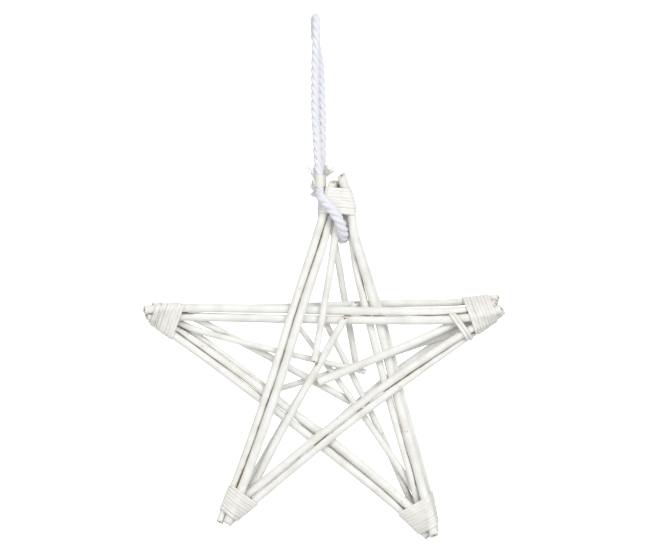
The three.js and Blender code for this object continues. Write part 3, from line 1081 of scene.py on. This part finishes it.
def wrap_outline(
    circles: list[tuple[float, float, float]], outside: float, points: int, directions: int = 720
) -> np.ndarray:
    """The taut outline round circles, evenly spaced along its length, with its outward directions.

    Args:
        circles: The circles as place across, depth and radius.
        outside: How far the outline lies outside them.
        points: How many points it gets.
        directions: How many directions it is first measured in.

    Returns:
        Rows of across, depth, outward across and outward depth.
    """
    angles = np.linspace(0, 2 * math.pi, directions + 1)
    table = np.array(circles)
    reach = table[:, :1] * np.cos(angles) + table[:, 1:2] * np.sin(angles) + table[:, 2:]
    best = table[reach.argmax(axis=0)]
    x = best[:, 0] + (best[:, 2] + outside) * np.cos(angles)
    y = best[:, 1] + (best[:, 2] + outside) * np.sin(angles)
    run = np.concatenate([[0], np.cumsum(np.hypot(np.diff(x), np.diff(y)))])
    wanted = np.linspace(0, run[-1], points, endpoint=False)
    across, depth = np.interp(wanted, run, x), np.interp(wanted, run, y)
    tangent = unit(np.stack([np.roll(v, -1) - np.roll(v, 1) for v in (across, depth)], axis=1))
    return np.column_stack([across, depth, tangent[:, 1], -tangent[:, 0]])


@dataclass
class TipBinding:
    """A split willow strip wound round the rods that meet at a tip, turn beside turn."""

    tip: Tip
    seed: int
    setback: float = 6.5 * MM
    length: float = 25.5 * MM
    turns: int = 8
    thickness: float = 1.15 * MM
    gap: float = 0.1 * MM
    slant: float = 0.0
    advance: float = 0.97
    # How strongly the strip's edges take the tan painted shade of the grooves between turns
    edge_shade_amount: float = 1.0
    drift: float = 0.22 * MM
    swelling: float = 0.1
    lift: float = 0.13 * MM
    tuck: float = 1.6 * MM
    tuck_turns: float = 0.05
    row_spacing: float = 0.9 * MM
    row_margin: float = 2.5 * MM
    name: str = ""

    OUTLINE_POINTS = 120
    # The strip's section: place across in widths, height in thicknesses. Its crown is the middle row
    PROFILE = (
        (-0.5, 0.0), (-0.5, 0.45), (-0.4, 0.78), (-0.2, 0.96), (0.0, 1.0),
        (0.2, 0.96), (0.4, 0.78), (0.5, 0.45), (0.5, 0.0),
    )
    EDGE_SHARPNESS = 6
    # How many turns the strip's drift, width and lift each take to change, and what parts their seeds
    DRIFT_TURNS, WIDTH_TURNS, LIFT_TURNS = 1.7, 2.3, 1.3
    WIDTH_SEED, LIFT_SEED = 5, 9

    def build(self, rods: list[RodLine], material: bpy.types.Material) -> bpy.types.Object:
        """Winds the strip round the rods.

        Args:
            rods: The rods that it holds.
            material: The strip's material.

        Returns:
            The binding's object.
        """
        tip = STAR_CENTRE + self.tip.from_centre()
        axis = unit(STAR_CENTRE - tip)
        sideways = np.array([-axis[2], 0, axis[0]])
        width = self.length / (1 + self.turns * self.advance)
        table = self.outlines(rods, tip, axis)
        steps = self.turns * self.OUTLINE_POINTS
        turn = np.arange(steps + 1) / self.OUTLINE_POINTS
        drift = self.drift * wobble(self.seed, turn, self.DRIFT_TURNS)
        swell = 1 + self.swelling * wobble(self.seed + self.WIDTH_SEED, turn, self.WIDTH_TURNS)
        lift = self.lift * (1 + wobble(self.seed + self.LIFT_SEED, turn, self.LIFT_TURNS))
        # Painted shade at the strip's edges, strongest at the very edge of the section
        tint_mask = [self.edge_shade_amount * min(1.0, abs(a) * 2) ** self.EDGE_SHARPNESS for a, _ in self.PROFILE]
        crown = len(self.PROFILE) // 2
        rings = []
        flats = []
        run_length = 0.0
        for i in range(steps + 1):
            share = turn[i] / self.turns
            middle = self.setback + width / 2 + share * (self.length - width) + drift[i]
            k = i % self.OUTLINE_POINTS
            leaning = self.slant * math.cos(2 * math.pi * k / self.OUTLINE_POINTS)
            # The strip's two ends dip under their neighbours
            tuck = self.tuck * max(0.0, 1 - min(turn[i], self.turns - turn[i]) / self.tuck_turns)
            here = []
            for place_across, height in self.PROFILE:
                distance = middle + place_across * width * swell[i] - leaning
                across, depth, out_across, out_depth = self.at(table, distance, k)
                rise = height * self.thickness + lift[i] - tuck
                point = tip + axis * distance
                point = point + sideways * (across + out_across * rise)
                point[1] += depth + out_depth * rise
                here.append(point)
            if rings:
                run_length += float(np.linalg.norm(here[crown] - rings[-1][crown]))
            rings.append(here)
            flats.append([(run_length + self.seed, a * width, h * MM) for a, h in self.PROFILE])
        mesh = MeshBuilder()
        first = mesh.add_places(
            np.array(rings),
            strip_place=np.array(flats).reshape(-1, 3),
            strip_edge=np.tile(tint_mask, len(rings)),
        )
        mesh.add_closed_tube(first, len(rings), len(self.PROFILE))
        return mesh.finish(self.name or f"willow_binding_{self.tip.label}", [material])

    def outlines(
        self, rods: list[RodLine], tip: np.ndarray, axis: np.ndarray
    ) -> tuple[np.ndarray, np.ndarray]:
        """The rods' outline at places along the binding.

        Args:
            rods: The rods that it holds.
            tip: The tip's point.
            axis: The direction from the tip to the centre.

        Returns:
            The places along the axis, and the outline at each.
        """
        margin = self.row_margin + abs(self.slant)
        places = np.arange(self.setback - margin, self.setback + self.length + margin, self.row_spacing)
        rows = []
        for place in places:
            circles = [c for c in (rod.circle_at(tip, axis, place) for rod in rods) if c]
            rows.append(wrap_outline(circles, self.gap, self.OUTLINE_POINTS))
        return places, np.array(rows)

    def at(self, table: tuple[np.ndarray, np.ndarray], distance: float, k: int) -> np.ndarray:
        """One point of the outline, between the places it was measured at.

        Args:
            table: The places along the axis, and the outline at each.
            distance: The point's distance from the tip.
            k: The point's number round the outline.

        Returns:
            The point's place across, its depth, outward across and outward depth.
        """
        places, rows = table
        # Kept just short of the last row, so that a next row is there
        where = np.clip((distance - places[0]) / (places[1] - places[0]), 0, len(places) - 1.001)
        low = int(where)
        share = where - low
        return rows[low, k] * (1 - share) + rows[low + 1, k] * share


@dataclass
class CottonCord:
    """The hanging cord: three soft strands laid together, doubled into a loop and led under the tip's rods.

    It swells where it lies slack, round its low bend. The slack's place and reach are shares of its length.
    """

    diameter: float = 6 * MM
    pitch: float = 21 * MM
    lay: Lay = Lay.S_TWIST
    strands: int = 3
    sides: int = 14
    ring_spacing: float = 0.8 * MM
    looseness: float = 1.16
    slack_swelling: float = 0.25
    slack_place: float = 0.2
    slack_reach: float = 0.1
    strand_place: float = 0.92
    strand_fullness: float = 1.27
    strand_drift: float = 0.05
    strand_drift_wave: float = 18 * MM
    strand_wander: float = 0.25
    strand_wander_wave: float = 40 * MM
    yarn_turns_per_cm: float = 0.6
    yarn_groove: float = 0.03
    yarns_round: int = 5

    WANDER_SEED, DRIFT_SEED = 41, 51
    # From the cut end behind the band, down and under the top tip's rods, up the loop and down again
    ROUTE_MM = (
        (5.6, 7.8, -124.5), (4.4, 6.4, -133), (4.8, 6.5, -146), (4.9, 10, -155.5), (4.6, 14.8, -166),
        (7.2, 17.8, -174.6), (13.6, 17.8, -181.4), (19.4, 13.6, -186.4), (22.6, 5.4, -189),
        (23.4, -3.4, -187.4), (22.8, -11.6, -183), (21.2, -17.4, -177.2), (18, -20, -171.2),
        (13.2, -20.7, -164), (8, -21.3, -158), (3.9, -18.8, -153.4), (2.6, -12.8, -150), (3, -7.1, -146),
        (3.2, -6, -140), (2.2, -5.7, -131), (1, -4.7, -121), (0.2, -3.6, -104), (-1.2, -3.3, -75.5),
        (-1.1, -4.2, -42.5), (-0.6, -5.4, -25), (0, -6.3, -12), (0, -5.6, -3), (-0.4, -3.1, 1.8),
        (-0.9, 0, 3), (-1.4, 3.1, 1.8), (-1.7, 5.6, -3), (-1.3, 6.3, -12), (0.8, 5.4, -25),
        (3.4, 4.3, -42.5), (4.6, 3, -75.5), (4.8, 2.2, -104), (4.6, 1.2, -121), (2.2, 0.4, -132),
        (1.2, 0.1, -146.2), (-1.6, -1, -152),
    )

    def route(self) -> np.ndarray:
        """The cord's route in metres."""
        return np.array(self.ROUTE_MM) * MM

    def build(self, material: bpy.types.Material) -> bpy.types.Object:
        """Lays the strands along the route.

        Args:
            material: The cotton.

        Returns:
            The cord's object.
        """
        line = smooth_line(self.route(), self.ring_spacing)
        _, side, other = frames_along(line, np.array([1.0, 0.0, 0.0]))
        along = np.arange(len(line)) * self.ring_spacing
        from_slack = (along / along[-1] - self.slack_place) / self.slack_reach
        swell = self.looseness * (1 + self.slack_swelling * np.exp(-(from_slack**4)))
        # Three round strands that touch each other fill the cord's circle
        strand_radius = self.diameter / 2 / (1 + 2 / math.sqrt(3))
        centre_radius = strand_radius * 2 / math.sqrt(3)
        mesh = MeshBuilder()
        for strand in range(self.strands):
            turn = 2 * math.pi * (strand / self.strands + self.lay.value * along / self.pitch)
            wander = wobble(self.WANDER_SEED + strand, along, self.strand_wander_wave)
            turn = turn + self.strand_wander * wander
            spoke = side * np.cos(turn)[:, None] + other * np.sin(turn)[:, None]
            centres = line + spoke * (self.strand_place * centre_radius * swell)[:, None]
            drift = wobble(self.DRIFT_SEED + strand, along, self.strand_drift_wave)
            girth = self.strand_fullness * swell * (1 + self.strand_drift * drift)
            self.add_strand(mesh, centres, strand_radius * girth)
        return mesh.finish("cotton_cord", [material])

    def add_strand(self, mesh: MeshBuilder, centres: np.ndarray, radius: np.ndarray) -> None:
        """Adds one strand, grooved by its yarns.

        Args:
            mesh: The cord's mesh.
            centres: The strand's centreline.
            radius: Its radius at each point.
        """
        _, side, other = frames_along(centres, np.array([1.0, 0.0, 0.0]))
        along = distances_along(centres)
        angles = ring_angles(self.sides)
        turns = self.yarn_turns_per_cm * self.lay.value * along / (10 * MM)
        phase = angles[None] - 2 * math.pi * turns[:, None]
        reach = radius[:, None] * (1 + self.yarn_groove * np.cos(self.yarns_round * phase))
        places = centres[:, None] + spokes_round(side, other, angles) * reach[..., None]
        rows = np.broadcast_to(along[:, None], reach.shape)
        flat = np.stack([reach * np.cos(phase), reach * np.sin(phase), rows], axis=2)
        first = mesh.add_places(places, strand_place=flat.reshape(-1, 3))
        mesh.add_closed_tube(first, len(centres), self.sides)


@dataclass
class FrayedTuft:
    """The frayed end of the cord: loose yarns that spread, curl and thin out."""

    name: str
    base: tuple[float, float, float]
    towards: tuple[float, float, float]
    seed: int
    yarns: int
    length: float
    base_radius: float
    spread: float
    shortest: float = 0.55
    longest: float = 1.1
    curl: float = 0.16
    start_share: float = 0.8
    spread_power: float = 1.6
    yarn_radius: float = 0.24 * MM
    end_share: float = 0.35
    sides: int = 5
    rings: int = 8

    # Directions that no tuft and no yarn runs in
    ACROSS_TUFT = (0.3, 1.0, 0.2)
    ACROSS_YARN = (1.0, 0.2, 0.1)

    def build(self, material: bpy.types.Material) -> bpy.types.Object:
        """Builds the loose yarns.

        Args:
            material: The cotton.

        Returns:
            The tuft's object.
        """
        source = np.random.default_rng(self.seed)
        axis = unit(np.array(self.towards, float))
        side = unit(np.cross(axis, self.ACROSS_TUFT))
        other = np.cross(axis, side)
        mesh = MeshBuilder()
        for _ in range(self.yarns):
            angle = source.uniform(0, 2 * math.pi)
            out = math.sqrt(source.uniform(0, 1))
            lean = side * math.cos(angle) + other * math.sin(angle)
            start = np.array(self.base) * MM + lean * out * self.base_radius * self.start_share
            length = self.length * source.uniform(self.shortest, self.longest)
            curl = source.normal(0, self.curl, 3)
            share = np.linspace(0, 1, self.rings)[:, None]
            apart = lean * length * self.spread * out * share**self.spread_power
            line = start + axis * length * share + apart + curl * length * share**2
            self.add_yarn(mesh, line)
        return mesh.finish(self.name, [material])

    def add_yarn(self, mesh: MeshBuilder, line: np.ndarray) -> None:
        """Adds one yarn that thins to its end.

        Args:
            mesh: The tuft's mesh.
            line: The yarn's centreline.
        """
        _, side, other = frames_along(line, np.array(self.ACROSS_YARN))
        angles = ring_angles(self.sides)
        radius = self.yarn_radius * np.linspace(1.0, self.end_share, len(line))
        places = line[:, None] + spokes_round(side, other, angles) * radius[:, None, None]
        first = mesh.add_places(places, strand_place=places.reshape(-1, 3))
        mesh.add_closed_tube(first, len(line), self.sides)


@dataclass
class CordBand:
    """A turn and a half of cream tape pulled tight round the three runs of cord."""

    top: float = -133.8 * MM
    length: float = 10.6 * MM
    thickness: float = 0.7 * MM
    clearance: float = 0.2 * MM
    bulge: float = 0.1 * MM
    crease: float = 0.16 * MM
    creases_down: float = 3.0
    crease_lean: float = 0.01
    sag: float = 0.35 * MM
    lip: float = 0.1
    rows: int = 15
    points: int = 96
    thread_step: float = 0.62 * MM
    cord_read_spacing: float = 0.5 * MM
    cord_read_from: float = -144.6 * MM
    cord_read_to: float = -134.4 * MM

    CREASE_SEED, SAG_SEED = 7, 13

    def build(self, cord: CottonCord, material: bpy.types.Material) -> bpy.types.Object:
        """Builds the band round the cord.

        Args:
            cord: The cord that passes through it.
            material: The tape.

        Returns:
            The band's object.
        """
        line = smooth_line(cord.route(), self.cord_read_spacing)
        round_it = np.arange(self.points)
        # Both ends of the section turn in to the cord
        profile = [(i / (self.rows - 1), 1.0) for i in range(self.rows)]
        rings = []
        flats = []
        for share, out in [(0.0, self.lip), *profile, (1.0, self.lip)]:
            height = self.top - self.length * share
            level = np.clip(height, self.cord_read_from, self.cord_read_to)
            outline = wrap_outline(self.circles(line, level, cord.diameter / 2), self.clearance, self.points)
            down = share * self.creases_down + round_it * self.crease_lean
            crease = self.crease * wobble(self.CREASE_SEED, down, 1.0)
            rise = self.thickness * out + crease * (out > self.lip) + self.bulge * math.sin(share * math.pi)
            x = outline[:, 0] + outline[:, 2] * rise
            y = outline[:, 1] + outline[:, 3] * rise
            level_line = np.full(self.points, height)
            sag = self.sag * wobble(self.SAG_SEED, round_it / self.points, 1.0, 1)
            rings.append(np.stack([x, y, level_line + sag], axis=1))
            flats.append(np.stack([round_it * self.thread_step, level_line, rise], axis=1))
        mesh = MeshBuilder()
        first = mesh.add_places(np.array(rings), tape_place=np.array(flats).reshape(-1, 3))
        mesh.add_tube(first, len(rings), self.points, closed=True)
        return mesh.finish("cream_cord_band", [material])

    def circles(self, line: np.ndarray, height: float, radius: float) -> list[tuple[float, float, float]]:
        """Where the cord passes a level.

        Args:
            line: The cord's centreline.
            height: The level.
            radius: The cord's radius.

        Returns:
            A circle of place across, depth and radius for each pass.
        """
        found = []
        for here, there in zip(line, line[1:]):
            if (here[2] - height) * (there[2] - height) <= 0 and here[2] != there[2]:
                share = (here[2] - height) / (here[2] - there[2])
                place = here + (there - here) * share
                found.append((place[0], place[1], radius))
        return found


@dataclass(frozen=True)
class Softbox:
    """A large square soft lamp."""

    name: str
    place: tuple[float, float, float]
    size: float
    power: float

    def build(self, target: Vector) -> None:
        """Sets the lamp up.

        Args:
            target: The place that it faces.
        """
        light = bpy.data.lights.new(self.name, "AREA")
        light.size = self.size
        light.energy = self.power
        lamp = bpy.data.objects.new(self.name, light)
        lamp.location = self.place
        lamp.rotation_euler = (Vector(self.place) - target).to_track_quat("Z", "Y").to_euler()
        bpy.context.scene.collection.objects.link(lamp)


@dataclass
class Studio:
    """White backdrop, pale floor, soft lights and the camera."""

    view_centre: tuple[float, float] = (7.38 * MM, -220.9 * MM)
    view_width: float = 564.2 * MM
    distance: float = 2.6
    sensor_mm: float = 36.0
    floor_level: float = -0.95
    backdrop_distance: float = 4.0
    paper_reach: float = 4.0
    paper_drop: float = 2.0
    room_light: float = 0.58
    lit_place: tuple[float, float, float] = (0.01, 0.0, -0.28)

    SOFTBOXES = (
        Softbox("key_softbox", (0.95, -2.1, 0.9), 1.1, 29.5),
        Softbox("fill_softbox", (-1.4, -2.0, 0.0), 1.4, 9.0),
        Softbox("rim_softbox", (0.2, 0.6, 1.4), 1.0, 0.6),
    )

    def build(self) -> None:
        """Sets up the studio."""
        self.add_camera()
        self.add_paper()
        self.add_lights()
        bpy.context.scene.view_settings.view_transform = "Standard"

    def add_camera(self) -> None:
        """Adds a long lens level with the middle of the picture."""
        camera = bpy.data.cameras.new("studio_camera")
        camera.sensor_width = self.sensor_mm
        camera.lens = self.sensor_mm * self.distance / self.view_width
        holder = bpy.data.objects.new("studio_camera", camera)
        holder.location = (self.view_centre[0], -self.distance, self.view_centre[1])
        holder.rotation_euler = (math.pi / 2, 0, 0)
        bpy.context.scene.collection.objects.link(holder)
        bpy.context.scene.camera = holder

    def add_paper(self) -> None:
        """Adds the backdrop and the floor."""
        white = StudioPaper("white_backdrop_paper", "#ffffff", 1.0).build()
        pale = StudioPaper("pale_floor_paper", "#e4e4e4", 0.0).build()
        back, wide, floor = self.backdrop_distance, self.paper_reach, self.floor_level
        square = ((-wide, -wide), (wide, -wide), (wide, wide), (-wide, wide))
        sheets = {
            "studio_backdrop": ([(x, back, max(z, -self.paper_drop)) for x, z in square], white),
            "studio_floor": ([(x, y, floor) for x, y in square], pale),
        }
        for name, (corners, paper) in sheets.items():
            mesh = bpy.data.meshes.new(name)
            mesh.from_pydata(corners, [], [(0, 1, 2, 3)])
            mesh.materials.append(paper)
            sheet = bpy.data.objects.new(name, mesh)
            # The backdrop shows to the camera alone, and neither lights the star nor mirrors in it
            sheet.visible_diffuse = name == "studio_floor"
            sheet.visible_glossy = name == "studio_floor"
            bpy.context.scene.collection.objects.link(sheet)

    def add_lights(self) -> None:
        """Adds the room's even white light and three large soft lamps."""
        world = bpy.data.worlds.new("studio_light")
        bpy.context.scene.world = world
        world.use_nodes = True
        background = world.node_tree.nodes["Background"]
        background.inputs["Color"].default_value = (1, 1, 1, 1)
        background.inputs["Strength"].default_value = self.room_light
        for softbox in self.SOFTBOXES:
            softbox.build(Vector(self.lit_place))


@dataclass
class HangingLoop:
    """The cord with its band and its frayed ends."""

    cord: CottonCord = field(default_factory=CottonCord)
    band: CordBand = field(default_factory=CordBand)
    path_spacing: float = 3 * MM

    def tufts(self) -> list[FrayedTuft]:
        """The frayed ends: two tufts above the band and one below it."""
        return [
            FrayedTuft(
                "frayed_end_above_left", (-0.4, -4.5, -136.5), (-0.55, -0.1, 1.0), 3,
                yarns=60, length=12.5 * MM, base_radius=2.2 * MM, spread=0.3,
            ),
            FrayedTuft(
                "frayed_end_above_right", (5.6, 4.5, -135.5), (0.62, -0.15, 1.0), 5,
                yarns=90, length=13.5 * MM, base_radius=2.9 * MM, spread=0.42,
            ),
            FrayedTuft(
                "frayed_end_below", (-1.6, -5.5, -138.5), (-0.1, -0.2, -1.0), 8,
                yarns=110, length=10.5 * MM, base_radius=2.9 * MM, spread=0.2,
            ),
        ]

    def build(self, cotton: bpy.types.Material, tape: bpy.types.Material) -> list[bpy.types.Object]:
        """Args:
            cotton: The cord's material.
            tape: The band's material.

        Returns:
            The loop's objects.
        """
        cord = self.cord.build(cotton)
        band = self.band.build(self.cord, tape)
        # The loose yarns get a lighter, warmer copy of the cotton: painted light that lifts the shade the
        # yarns cast on each other
        lit_loose_cotton = SpunCotton("frayed_cotton_lit_copy", light="#f7f5f2", shade="#efedea", sheen=0.5).build()
        tufts = [tuft.build(lit_loose_cotton) for tuft in self.tufts()]
        for piece in (cord, band, *tufts):
            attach(piece, "root")
        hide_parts("hanging_cord")
        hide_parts("cord_band")
        route = self.cord.route()
        return [cord, band, *tufts]


@dataclass
class WillowStar:
    """The woven star: its rods and the bindings at its tips."""

    nodes: dict[str, bpy.types.Object]
    tight_advance: float = 0.92
    # Fainter painted shade between the turns of the tight bindings
    tight_edge_shade: float = 0.35
    slack_setback: float = 36.5 * MM
    slack_length: float = 8.8 * MM
    slack_turns: int = 2
    slack_slant: float = 4.4 * MM

    ROD_SEED, ROD_SEED_STEP, BINDING_SEED, SLACK_SEED = 11, 7, 60, 77
    TIGHT = (Tip.TOP, Tip.LOWER_RIGHT)
    # Rods of the right tip that the slack turn doesn't go round
    NOT_IN_SLACK_TURN = ("left_to_right_upper", "left_to_right_back")

    def tips_of(self, rod: RodLine) -> list[str]:
        """The tips that a rod reaches, as its name says: top_to_lower_left_outer, or top_inner_front."""
        group = rod.name.rsplit("_", 1)[0]
        return group.removesuffix("_inner").split("_to_")

    def build(self) -> list[bpy.types.Object]:
        """Builds every rod and binding over its solid.

        Returns:
            The star's objects.
        """
        bark_side = WhitewashedWillow().build()
        cut_end = CutWillowEnd().build()
        strip = SplitWillowStrip().build()
        names = sorted(name for name in self.nodes if name.startswith("rod_"))
        lines = [RodLine.of(name.removeprefix("rod_"), self.nodes[name]) for name in names]
        pieces = []
        for index, (name, line) in enumerate(zip(names, lines)):
            others = [other for other in lines if other is not line]
            seed = self.ROD_SEED + self.ROD_SEED_STEP * index
            rod = WillowRod(line, seed).build(others, [bark_side, cut_end])
            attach(rod, "root")
            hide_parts(name)
            pieces.append(rod)
            LOG.info("rod %s: %d faces", line.name, len(rod.data.polygons))
        for index, tip in enumerate(Tip):
            held = [line for line in lines if tip.label in self.tips_of(line)]
            binding = self.binding_at(tip, self.BINDING_SEED + index).build(held, strip)
            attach(binding, "root")
            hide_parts(f"binding_{tip.label}")
            pieces.append(binding)
            LOG.info("binding %s: %d faces", tip.label, len(binding.data.polygons))
        slack = self.build_slack_turn(lines, strip)
        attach(slack, "root")
        pieces.append(slack)
        return pieces

    def binding_at(self, tip: Tip, seed: int) -> TipBinding:
        """The binding of a tip. The top and lower right ones are laid tighter, with fainter painted shade
        between turns.

        Args:
            tip: The tip.
            seed: Picks the binding's small faults.

        Returns:
            The binding, not yet built.
        """
        plain = TipBinding(tip, seed)
        if tip not in self.TIGHT:
            return plain
        # The lower right one has a turn more, nearer the tip
        more = 1 if tip is Tip.LOWER_RIGHT else 0
        extra = more * plain.length / plain.turns
        return TipBinding(
            tip,
            seed,
            setback=plain.setback - extra,
            length=plain.length + extra,
            turns=plain.turns + more,
            advance=self.tight_advance,
            edge_shade_amount=self.tight_edge_shade,
        )

    def build_slack_turn(self, lines: list[RodLine], strip: bpy.types.Material) -> bpy.types.Object:
        """Winds the right binding's last two turns, which slipped along the rods.

        Args:
            lines: Every rod.
            strip: The strip's material.

        Returns:
            The slack turn's object.
        """
        reaching = [line for line in lines if Tip.RIGHT.label in self.tips_of(line)]
        held = [line for line in reaching if line.name not in self.NOT_IN_SLACK_TURN]
        turn = TipBinding(
            Tip.RIGHT,
            seed=self.SLACK_SEED,
            setback=self.slack_setback,
            length=self.slack_length,
            turns=self.slack_turns,
            slant=self.slack_slant,
            name="willow_slack_turn",
        )
        return turn.build(held, strip)


def main() -> None:
    """Loads the solid model, dresses it and sets up the studio."""
    logging.basicConfig(level=logging.INFO, format="%(name)s: %(message)s")
    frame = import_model()
    Studio().build()
    loop = HangingLoop().build(SpunCotton().build(), WovenTape().build())
    LOG.info("hanging loop: %d pieces", len(loop))
    star = WillowStar(frame["nodes"]).build()
    LOG.info("star: %d pieces", len(star))


if __name__ == "__main__":
    main()
